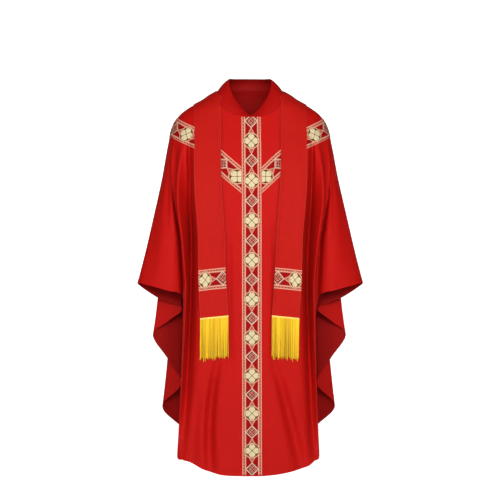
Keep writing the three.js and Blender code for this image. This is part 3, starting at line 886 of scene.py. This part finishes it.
# ---------------------------------------------------------------- collar
def collar():
    """The doubled collar: it stands on the neck seam, rolls out and leans in to its edge."""
    columns = 240
    rows = 16
    ring = np.linspace(0, WHOLE, columns, endpoint=False)
    ring = np.where(ring > WHOLE - RIDGE, ring - WHOLE, ring)
    side, place = side_of(ring)
    around = fold_at(place, "round")
    z = neck_at(ring)
    foot = cloth_at(ring, z)
    above = unit(cloth_at(ring, z + 1) - foot)
    foot = foot + above * COLLAR_SEAM
    top_x = side * table_at(COLLAR, "round", around, "x")
    top = np.stack([top_x, *(table_at(COLLAR, "round", around, key) for key in ("y", "z"))], axis=-1)
    out = outward(ring, z)
    across = unit(cloth_at(ring + RING_STEP, z) - cloth_at(ring - RING_STEP, z))
    lean = unit(np.cross(across, unit(top - foot)))
    up = np.linspace(1, 0, rows)[:, None, None]
    roll = table_at(COLLAR, "round", around, "roll")[None, :, None] * np.sin(up * math.pi)
    outward_now = unit(lerp(out[None], lean[None], np.minimum(1, up * 2)))
    face = lerp(foot[None], top[None], up) + lean[None] * roll
    thinner = 0.3 * rises(up, start=0.93, over=0.07)
    outer = face - outward_now * thinner * COLLAR_CLOTH
    inner = face - outward_now * COLLAR_CLOTH * (1 - thinner)
    piece = shell("roll_collar", outer, inner, uv_of(face), loop=True)
    dress(piece, COLLAR_RED_PAINTED_SHADE, "red_cloth", "collar")
    return piece, face


collar_piece, collar_face = collar()


# ---------------------------------------------------------------- orphreys
def laid_band(name, ring, z, u, v, node, lift=BAND_GAP, base=surface):
    """A woven band on the cloth, its design raised in its face."""
    relief = band_relief(u, v)
    outer = base(ring, z, lift + TRIM + relief)
    inner = base(ring, z, np.full(ring.shape, lift))
    piece = shell(name, outer, inner, np.stack([u, v], axis=-1))
    dress(piece, BAND, "orphrey", node)
    return piece, outer


FIRST_MEDALLION = -151  # height of the top medallion's middle
TOP_PITCH = 128.5  # repeats of the column are this tall at the top, and shorter down the front
PITCH_LOSS = 0.85  # half of what each repeat is shorter than the one above


def column():
    columns, rows = 44, 720
    z = np.linspace(COLUMN_TOP, COLUMN_END, rows)[:, None] * np.ones(columns)
    u = np.linspace(-HALF_BAND, HALF_BAND, columns) * np.ones((rows, 1))
    ring = np.sign(u) * ring_at(np.abs(u), z)
    fall = FIRST_MEDALLION - z
    repeats = (TOP_PITCH - np.sqrt(TOP_PITCH ** 2 - 4 * PITCH_LOSS * fall)) / (2 * PITCH_LOSS)
    return laid_band("front_orphrey", ring, z, u, repeats * REPEAT, "orphrey_column")


ARM_MEDALLION = 17  # from the column to the middle of the arm's first medallion
ARM_JOIN = 150  # from the column to where the arm is pieced, hidden under the stole
JOIN_SHIFT = 20.5  # how much of the design is lost in that join


def arm_edge(name):
    """One edge of an orphrey arm, as heights by place on the oval."""
    in_front = fold_at(ring_at(ARM_FRONT["x"], ARM_FRONT[name]), "round")
    behind = fold_at(ring_at(ARM_BACK["x"], ARM_BACK[name], back=True), "round")
    return {
        "round": np.concatenate([in_front, [1.0], behind]),
        "z": np.concatenate([ARM_FRONT[name], [ARM_RIDGE[name]], ARM_BACK[name]]),
    }


def arm(side_name, side):
    """An arm of the orphrey: from the column, over the shoulder, down to centre back."""
    lower, upper = arm_edge("lower"), arm_edge("upper")
    start = ring_at(ARM_FRONT["x"][0], ARM_FRONT["lower"][0])
    end = ring_at(ARM_BACK["x"][-1], ARM_BACK["lower"][-1], back=True)
    columns, rows = 380, 44

    def height(ring, share):
        around = fold_at(ring, "round")
        edges = [table_at(edge, "round", around, "z") for edge in (upper, lower)]
        return lerp(edges[0], edges[1], share)

    dense = np.linspace(start, end, 2500)
    walked = run_of(cloth_at(dense, height(dense, 0.5)), 0)
    places = np.interp(np.linspace(0, walked[-1], columns), walked, dense)
    ring = np.broadcast_to(places, (rows, columns))
    z = height(ring, np.linspace(0, 1, rows)[:, None])
    middle = cloth_at(places, height(places, 0.5))
    along = unit(np.gradient(middle, axis=0))
    off = cloth_at(ring, z) - middle
    ahead = (off * along).sum(axis=-1)
    beside = np.sqrt(np.maximum((off * off).sum(axis=-1) - ahead ** 2, 0))
    u = beside * np.sign(np.linspace(1, -1, rows))[:, None]
    u = u * HALF_BAND / np.abs(u).max(axis=0)
    walked_in = run_of(middle, 0) + ahead
    v = walked_in - ARM_MEDALLION + JOIN_SHIFT * (walked_in > ARM_JOIN)
    if side < 0:
        ring, z, u, v = -ring[:, ::-1], z[:, ::-1], u[:, ::-1], v[:, ::-1]
    name = f"shoulder_orphrey_{side_name}"
    return laid_band(name, ring, z, u, v, f"orphrey_arm_{side_name}", lift=SEAM)


column_piece, _ = column()
arm_pieces = [arm("right", 1)[0], arm("left", -1)[0]]


# ---------------------------------------------------------------- stole
def fallen_rows():
    """Edges of the stole, ring and height of the inner and outer one, from the ridge down."""
    at_ridge = neck_at(np.array([float(RIDGE)]))[0] - STOLE_FROM_NECK
    heights = at_ridge - np.arange(0, 2 * STOLE_WIDTH)
    walked = run_of(cloth_at(np.full(heights.shape, float(RIDGE)), heights), 0)
    foot = np.interp(STOLE_WIDTH, walked, heights)
    inner = ring_at(STOLE_FALL["inner_x"], STOLE_FALL["inner_z"])
    outer = ring_at(STOLE_FALL["outer_x"], STOLE_FALL["outer_z"])
    falls = np.stack([inner, STOLE_FALL["inner_z"], outer, STOLE_FALL["outer_z"]], axis=1)
    return np.concatenate([[[RIDGE, at_ridge, RIDGE, foot]], falls])


def edges_at(rows, t):
    """The rows at shares t of the length, smoothly between them."""
    last = len(rows) - 1
    at = np.asarray(t) * last
    i = np.clip(np.floor(at).astype(int), 0, last - 1)
    picks = [rows[np.clip(i + k, 0, last)] for k in (-1, 0, 1, 2)]
    return through(*picks, (at - i)[..., None])


def strip_on(rows, shares, columns, side):
    """Grid of ring, height and share across for a stretch of the stole."""
    edge = edges_at(rows, shares)[:, None, :]
    share = np.linspace(0, 1, columns)[None, :]
    ring = lerp(edge[..., 0], edge[..., 2], share)
    z = lerp(edge[..., 1], edge[..., 3], share)
    if side < 0:
        ring, z = -ring[:, ::-1], z[:, ::-1]
    return ring, z


def edge_rise(shares, across):
    """How far the hanging stole stands off: its edges curl away from the cloth beneath, and
    lie flat again at its end."""
    free = rises(shares, start=0.45, over=0.5)
    curl = EDGE_CURL * rises(shares, start=0.3, over=0.25) * falls(shares, end=0.985, over=0.06)
    middle_off, edge_off = 0.6, 1.2
    return middle_off * free + (edge_off * free + curl) * across ** 4


def stole_end(side_name, side, rows):
    """One hanging end of the stole with its cross band; its edges stand a little off."""
    columns = 30
    shares = np.linspace(0, 1, 220)
    ring, z = strip_on(rows, shares, columns, side)
    across = np.linspace(-1, 1, columns)[None, :]
    rise = lerp(NECK_LIFT, STOLE_LIFT, rises(shares, start=0.12, over=0.22))[:, None]
    lift = rise + edge_rise(shares[:, None], across)
    outer = hanging(ring, z, lift + CLOTH)
    inner = hanging(ring, z, lift)
    uv = uv_of(outer)
    uv[..., 0] = across * STOLE_WIDTH / 2
    piece = shell(f"stole_end_{side_name}", outer, inner, uv)
    dress(piece, STOLE_RED, "stole_cloth", f"stole_{side_name}")

    band_rows = 42
    band_shares = np.linspace(*BAND_SHARE, band_rows)
    band_columns = 60
    ring, z = strip_on(rows, band_shares, band_columns, side)
    away = np.linspace(0, STOLE_WIDTH, band_columns)[None, :]
    if side < 0:
        away = away[:, ::-1]
    u = np.linspace(HALF_BAND, -HALF_BAND, band_rows)[:, None] * np.ones(band_columns)
    v = (away - CROSS_START) * CROSS_STRETCH + REPEAT / 2 + np.zeros((band_rows, 1))
    across = np.linspace(-1, 1, band_columns)[None, :]
    lift = STOLE_LIFT + CLOTH + BAND_GAP + edge_rise(band_shares[:, None], across)
    name = f"cross_band_{side_name}"
    band, _ = laid_band(name, ring, z, u, v, f"stole_band_{side_name}", lift=lift, base=hanging)
    return piece, band, outer


def stole_neck():
    """The stole round the back of the neck, from ridge to ridge."""
    columns, rows = 220, 26
    clear = 0.02  # leaves a seam at each shoulder ridge
    ring = np.linspace(RIDGE + clear, WHOLE - RIDGE - clear, columns)
    top = neck_at(ring) - STOLE_FROM_NECK
    drop = np.arange(0, 2 * STOLE_WIDTH)[:, None]
    heights = top[None, :] - drop
    walked = run_of(cloth_at(np.broadcast_to(ring, heights.shape), heights), 0)
    across = np.linspace(0, STOLE_WIDTH, rows)
    z = np.stack([np.interp(across, walked[:, k], heights[:, k]) for k in range(columns)], axis=1)
    grid = np.broadcast_to(ring, z.shape)
    outer = hanging(grid, z, np.full(z.shape, NECK_LIFT + CLOTH))
    inner = hanging(grid, z, np.full(z.shape, NECK_LIFT))
    uv = uv_of(outer)[..., ::-1].copy()
    uv[..., 0] -= STOLE_WIDTH / 2
    piece = shell("stole_behind_neck", outer, inner, uv)
    dress(piece, STOLE_RED, "stole_cloth", "stole_neck")
    return piece, outer


stole_rows = fallen_rows()
neck_piece, neck_face = stole_neck()
stole_right, band_right, right_face = stole_end("right", 1, stole_rows)
stole_left, band_left, left_face = stole_end("left", -1, stole_rows)


# ---------------------------------------------------------------- geometry node trees
class Tree:
    """A geometry node tree that is built step by step."""

    def __init__(self, name, inputs):
        self.group = bpy.data.node_groups.new(name, "GeometryNodeTree")
        face = self.group.interface
        face.new_socket("Guides", in_out="INPUT", socket_type="NodeSocketGeometry")
        for label, kind, value in inputs:
            face.new_socket(label, in_out="INPUT", socket_type=f"NodeSocket{kind}").default_value = value
        face.new_socket("Pieces", in_out="OUTPUT", socket_type="NodeSocketGeometry")
        self.start = self.group.nodes.new("NodeGroupInput")
        self.end = self.group.nodes.new("NodeGroupOutput")

    def add(self, kind, settings=None, **sockets):
        """Adds a node; sockets are given by name, with _ for a space."""
        node = self.group.nodes.new(kind)
        for key, value in (settings or {}).items():
            setattr(node, key, value)
        for key, value in sockets.items():
            self.feed(node.inputs[key.replace("_", " ")], value)
        return node

    def feed(self, socket, value):
        if isinstance(value, bpy.types.NodeSocket):
            self.group.links.new(value, socket)
        else:
            socket.default_value = value

    def given(self, label):
        return self.start.outputs[label]

    def tube(self, curve, radius):
        """A closed tube along a curve."""
        profile = self.add("GeometryNodeCurvePrimitiveCircle", Resolution=5, Radius=radius)
        round_profile = profile.outputs[0]
        tube = self.add("GeometryNodeCurveToMesh", Curve=curve, Profile_Curve=round_profile, Fill_Caps=True)
        return tube.outputs[0]

    def finish(self, geometry, material):
        whole = self.add("GeometryNodeRealizeInstances", Geometry=geometry)
        painted = self.add("GeometryNodeSetMaterial", Geometry=whole.outputs[0], Material=material)
        self.group.links.new(painted.outputs[0], self.end.inputs[0])
        return self.group


def strand_tree():
    """Tubes along guide lines, which wave more towards their loose ends."""
    tree = Tree("fringe strands", [("Radius", "Float", 0.001), ("Wave", "Float", 0.001)])
    lines = tree.add("GeometryNodeMeshToCurve", Mesh=tree.given("Guides"))
    along = tree.add("GeometryNodeInputNamedAttribute", {"data_type": "FLOAT"}, Name="along")
    place = tree.add("GeometryNodeInputPosition")
    ripple = tree.add("ShaderNodeTexNoise", Vector=place.outputs[0], Scale=60.0, Detail=1.0)
    middle = tree.add("ShaderNodeVectorMath", {"operation": "SUBTRACT"})
    tree.feed(middle.inputs[0], ripple.outputs["Color"])
    tree.feed(middle.inputs[1], (0.5, 0.5, 0.5))
    loose = tree.add("ShaderNodeMath", {"operation": "MULTIPLY"})
    tree.feed(loose.inputs[0], along.outputs["Attribute"])
    tree.feed(loose.inputs[1], tree.given("Wave"))
    shift = tree.add("ShaderNodeVectorMath", {"operation": "SCALE"})
    tree.feed(shift.inputs[0], middle.outputs[0])
    tree.feed(shift.inputs["Scale"], loose.outputs[0])
    waved = tree.add("GeometryNodeSetPosition", Geometry=lines.outputs[0], Offset=shift.outputs[0])
    return tree.finish(tree.tube(waved.outputs[0], tree.given("Radius")), YELLOW)


def stitch_tree():
    """Short arched stitches, evenly along guide lines, standing on the cloth."""
    tree = Tree("sewn stitches", [("Pitch", "Float", 0.004), ("Radius", "Float", 0.0003)])
    lines = tree.add("GeometryNodeMeshToCurve", Mesh=tree.given("Guides"))
    pitch = tree.given("Pitch")
    spaced = tree.add("GeometryNodeResampleCurve", {"mode": "LENGTH"}, Curve=lines.outputs[0], Length=pitch)
    out = tree.add("GeometryNodeInputNamedAttribute", {"data_type": "FLOAT_VECTOR"}, Name="out")
    tangent = tree.add("GeometryNodeInputTangent")
    turn = tree.add("FunctionNodeAxesToRotation", {"primary_axis": "Z", "secondary_axis": "X"})
    tree.feed(turn.inputs[0], out.outputs["Attribute"])
    tree.feed(turn.inputs[1], tangent.outputs[0])
    start, top, end = (-0.34, 0.0, -0.06), (0.0, 0.0, 0.16), (0.34, 0.0, -0.06)  # in pitches
    arch = tree.add("GeometryNodeCurveQuadraticBezier", Resolution=4, Start=start, Middle=top, End=end)
    scale = tree.add("ShaderNodeCombineXYZ", X=pitch, Y=pitch, Z=pitch)
    full_size = tree.add("GeometryNodeTransform", Geometry=arch.outputs[0], Scale=scale.outputs[0])
    stitch = tree.tube(full_size.outputs[0], tree.given("Radius"))
    placed = tree.add(
        "GeometryNodeInstanceOnPoints", Points=spaced.outputs[0], Instance=stitch, Rotation=turn.outputs[0]
    )
    return tree.finish(placed.outputs[0], RED_THREAD)


def grown(name, lines, group, settings, **values):
    """Runs a tree on guide lines, each an array of points, and keeps the plain mesh."""
    points = np.concatenate(lines)
    starts = np.cumsum([0] + [len(line) for line in lines])
    edges = []
    for start, end in zip(starts[:-1], starts[1:]):
        edges += [(k, k + 1) for k in range(start, end - 1)]
    guide = new_mesh(name + "_guides", points, np.zeros((0, 4), int), edges)
    for key, value in values.items():
        flat = np.concatenate(value).astype(np.float32)
        kind = "FLOAT_VECTOR" if flat.ndim == 2 else "FLOAT"
        data = guide.data.attributes.new(key, kind, "POINT").data
        data.foreach_set("vector" if flat.ndim == 2 else "value", flat.ravel())
    modifier = guide.modifiers.new("grow", "NODES")
    modifier.node_group = group
    for socket in group.interface.items_tree:
        if socket.in_out == "INPUT" and socket.name in settings:
            modifier[socket.identifier] = settings[socket.name]
    depsgraph = bpy.context.evaluated_depsgraph_get()
    mesh = bpy.data.meshes.new_from_object(guide.evaluated_get(depsgraph))
    bpy.data.objects.remove(guide)
    mesh.name = name
    shade_smooth(mesh)
    return in_scene(name, mesh)


# ---------------------------------------------------------------- fringe
LAYERS = 3
STRANDS = 150  # in each layer of the fringe
LOCKS = 30  # bunches that the front strands gather in
STRAND_STEPS = 12
STRAND_RADIUS = 0.5
STRAND_WAVE = 2.6
LAYER_STEP = 0.9  # from one layer to the next
BACK_SHORTER = 8  # how much shorter the layer at the back is than the front one
UNEVEN = 3  # how much longer than its lock a strand can be; it can be twice as much shorter
LOCK_LENGTH = 5  # how much longer or shorter a lock is
LOCK_DRIFT = 2.2  # how far a lock drifts sideways
LOCK_PULL = 0.72  # share of the way that a front strand's end goes to the middle of its lock
LOCK_SLACK = 1.2  # how far the ends of a lock stand off, and how much that differs
HEAD_KNOTS = 30  # across the woven head
FOOT_X = (STOLE_FALL["inner_x"][-1], STOLE_FALL["outer_x"][-1])  # corners of the stole's end
FOOT_Z = (STOLE_FALL["inner_z"][-1], STOLE_FALL["outer_z"][-1])


def fringe_head(side_name, side):
    """The woven head across the end of the stole."""
    columns, rows = 46, 6
    share = np.linspace(0, 1, columns)[None, :]
    drop = REST * 0.4 + np.linspace(0, FRINGE_HEAD, rows)[:, None]
    x = lerp(*FOOT_X, share) + np.zeros((rows, 1))
    z = lerp(*FOOT_Z, share) - drop
    ring = ring_at(x, z)
    bulge = 0.5 * np.sin(np.linspace(0, math.pi, rows))[:, None]
    knots = 0.25 * np.sin(share * 2 * math.pi * HEAD_KNOTS)
    if side < 0:
        ring, z = -ring[:, ::-1], z[:, ::-1]
    outer = hanging(ring, z, STOLE_LIFT + CLOTH + 1.6 + bulge + knots)
    inner = hanging(ring, z, np.full(z.shape, STOLE_LIFT))
    piece = shell(f"fringe_head_{side_name}", outer, inner, uv_of(outer), values={"tone": 0.1 + 0 * z})
    dress(piece, PALE_YELLOW, "fringe")
    return piece


def fringe(side_name, side, seed):
    """Loose strands in layers: the front ones gather in locks, and their ends are uneven."""
    chance = np.random.default_rng(seed)
    t = np.linspace(0, 1, STRAND_STEPS)
    count = LAYERS * STRANDS
    layer = np.repeat(np.arange(LAYERS), STRANDS)
    share = (np.tile(np.arange(STRANDS), LAYERS) + chance.uniform(0, 1, count)) / STRANDS
    share = np.clip(share, 0.006, 0.994)

    cuts = (np.arange(1, LOCKS) + chance.uniform(-0.4, 0.4, LOCKS - 1)) / LOCKS
    edges = np.sort(np.concatenate([[0, 1], cuts]))
    lock = np.clip(np.searchsorted(edges, share + 0.004 * layer) - 1, 0, LOCKS - 1)
    middle = (edges[lock] + edges[lock + 1]) / 2
    of_lock = {name: chance.uniform(-1, 1, LOCKS)[lock] for name in ("drift", "length", "tone", "slack")}
    in_front = layer / (LAYERS - 1)

    above_head = FRINGE_HEAD * 0.6  # the strands start inside the head
    wave_room = 1
    usual = FRINGE_LENGTH - above_head - LOCK_LENGTH - UNEVEN - wave_room
    length = usual + LOCK_LENGTH * of_lock["length"] * in_front
    length = length + chance.uniform(-2 * UNEVEN, UNEVEN, count) - BACK_SHORTER * (1 - in_front)
    top = lerp(*FOOT_Z, share) - above_head
    gather = (middle - share) * (FOOT_X[1] - FOOT_X[0]) * LOCK_PULL * in_front
    wander = LOCK_DRIFT * of_lock["drift"] * in_front + 0.5 * chance.standard_normal(count)
    x = lerp(*FOOT_X, share)[:, None] + gather[:, None] * t ** 1.3 + wander[:, None] * t ** 1.6
    z = top[:, None] - length[:, None] * t
    depth = STOLE_LIFT + LAYER_STEP + layer * LAYER_STEP + 0.3 * np.sin(share * 190)
    slack = ((LOCK_SLACK + LOCK_SLACK * of_lock["slack"]) * in_front)[:, None] * t ** 1.5
    points = hanging(side * ring_at(x, z), z, depth[:, None] + slack)
    # The back layers are darker, painted shade between the locks; locks and strands also vary at random.
    tone = 1.0 - 0.72 * in_front + 0.3 * of_lock["tone"] * in_front
    tone = np.clip(tone + chance.uniform(-0.1, 0.22, count), 0, 1)
    settings = {"Radius": STRAND_RADIUS * MM, "Wave": STRAND_WAVE * MM}
    tones = [np.full(STRAND_STEPS, value) for value in tone]
    name = f"fringe_strands_{side_name}"
    piece = grown(name, list(points), STRAND_TREE, settings, along=[t] * count, tone=tones)
    dress(piece, YELLOW, "fringe", f"fringe_{side_name}")
    return piece


STRAND_TREE = strand_tree()
STITCH_TREE = stitch_tree()
fringes = {name: (fringe(name, side, seed), fringe_head(name, side))
           for name, side, seed in (("right", 1, 3), ("left", -1, 8))}


# ---------------------------------------------------------------- sewing
STITCH_INSET = 1.5  # from the fold of the turned hem to its stitches
STITCH_PITCH = 4.2
STITCH_RADIUS = 0.28
STITCH_LIFT = 0.45


def hem_line(face, edge, out):
    """The line on a panel that keeps the hem stitches' distance from its edge, and which way
    the cloth faces along it."""
    line, normals = [], []
    wanted = HEM_WIDTH - STITCH_INSET
    for k in range(3, face.shape[1] - 3):
        distance = edge[::-1, k]
        past = int(np.argmax(distance > wanted))
        if past == 0:
            continue
        share = (wanted - distance[past - 1]) / (distance[past] - distance[past - 1])
        column, outs = face[::-1, k], out[::-1, k]
        line.append(lerp(column[past - 1], column[past], share))
        normals.append(outs[past])
    return np.array(line), np.array(normals)


def sewn(name, line, normals):
    """Stitches along a line on the cloth."""
    settings = {"Pitch": STITCH_PITCH * MM, "Radius": STITCH_RADIUS * MM}
    tones = [np.full(len(line), 0.4)]
    piece = grown(name, [line + normals * STITCH_LIFT], STITCH_TREE, settings, out=[normals], tone=tones)
    dress(piece, RED_THREAD, "red_cloth")
    return piece


hem_front = sewn("hem_stitches_front", *hem_line(front_face, front_edge, front_out))
hem_back = sewn("hem_stitches_back", *hem_line(back_face, back_edge, back_out))


# ---------------------------------------------------------------- studio
FLOOR = -1.48
CAMERA_DISTANCE = 5.0
CAMERA_HEIGHT = -0.497
CAMERA_TURN = 2.0  # degrees that the camera stands round to the viewer's left
FRAME_WIDTH = 1.625  # width that the picture takes in at the garment's middle


def studio():
    """A pale sweep: floor and a backdrop that rises behind in one curve, and glows behind lit_y."""
    front_y, lit_y, bend_y, radius, height = -6.0, 0.9, 5.4, 1.6, 5.0
    profile = [(front_y, FLOOR), (lit_y, FLOOR), (bend_y, FLOOR)]
    steps = 16
    for k in range(1, steps + 1):
        angle = math.pi / 2 * k / steps
        profile.append((bend_y + radius * math.sin(angle), FLOOR + radius * (1 - math.cos(angle))))
    profile.append((bend_y + radius, FLOOR + height))
    half = 4.2
    points = np.array([[(x, y, z) for x in (-half, half)] for y, z in profile]) / MM
    sweep = new_mesh("studio_sweep", points.reshape(-1, 3), quads_of(2, len(profile), inward=True))
    shade_smooth(sweep.data)
    for name, glow in (("pale studio paper", 0.0), ("pale lit paper", 0.9)):
        material, _, shader = new_material(name)
        settle(shader, {
            "Base Color": (0.8, 0.8, 0.8, 1.0),
            "Roughness": 0.9,
            "Emission Color": (1, 1, 1, 1),
            "Emission Strength": glow,
        })
        sweep.data.materials.append(material)
    for polygon in sweep.data.polygons:
        polygon.material_index = int(polygon.center.y > lit_y)


def soft_light(name, place, aim, width, height, power):
    light = bpy.data.lights.new(name, "AREA")
    light.shape = "RECTANGLE"
    light.size = width
    light.size_y = height
    light.energy = power
    lamp = in_scene(name, light)
    lamp.location = place
    lamp.rotation_euler = (Vector(aim) - Vector(place)).to_track_quat("-Z", "Y").to_euler()


def camera():
    data = bpy.data.cameras.new("camera")
    data.sensor_width = 36
    data.lens = data.sensor_width * CAMERA_DISTANCE / FRAME_WIDTH
    viewer = in_scene("camera", data)
    turn = math.radians(CAMERA_TURN)
    away = -CAMERA_DISTANCE
    viewer.location = (away * math.sin(turn), away * math.cos(turn), CAMERA_HEIGHT)
    viewer.rotation_euler = (math.pi / 2, 0, -turn)
    bpy.context.scene.camera = viewer


def world():
    sky = bpy.data.worlds.new("studio air")
    sky.use_nodes = True
    settle(sky.node_tree.nodes["Background"], {"Color": (1, 1, 1, 1), "Strength": 0.06})
    bpy.context.scene.world = sky


studio()
camera()
world()
MIDDLE = (0, 0, -0.45)  # of the garment, in metres
soft_light("key light", place=(0.1, -3.8, 0.5), aim=(0, 0, 1.3), width=4.2, height=1.4, power=222)
soft_light("left fill", place=(-3.2, -3.2, 0.1), aim=MIDDLE, width=1.0, height=1.0, power=34)
soft_light("right fill", place=(3.0, -3.2, 0.5), aim=MIDDLE, width=1.0, height=1.0, power=16)
bpy.context.scene.view_settings.view_transform = "Standard"
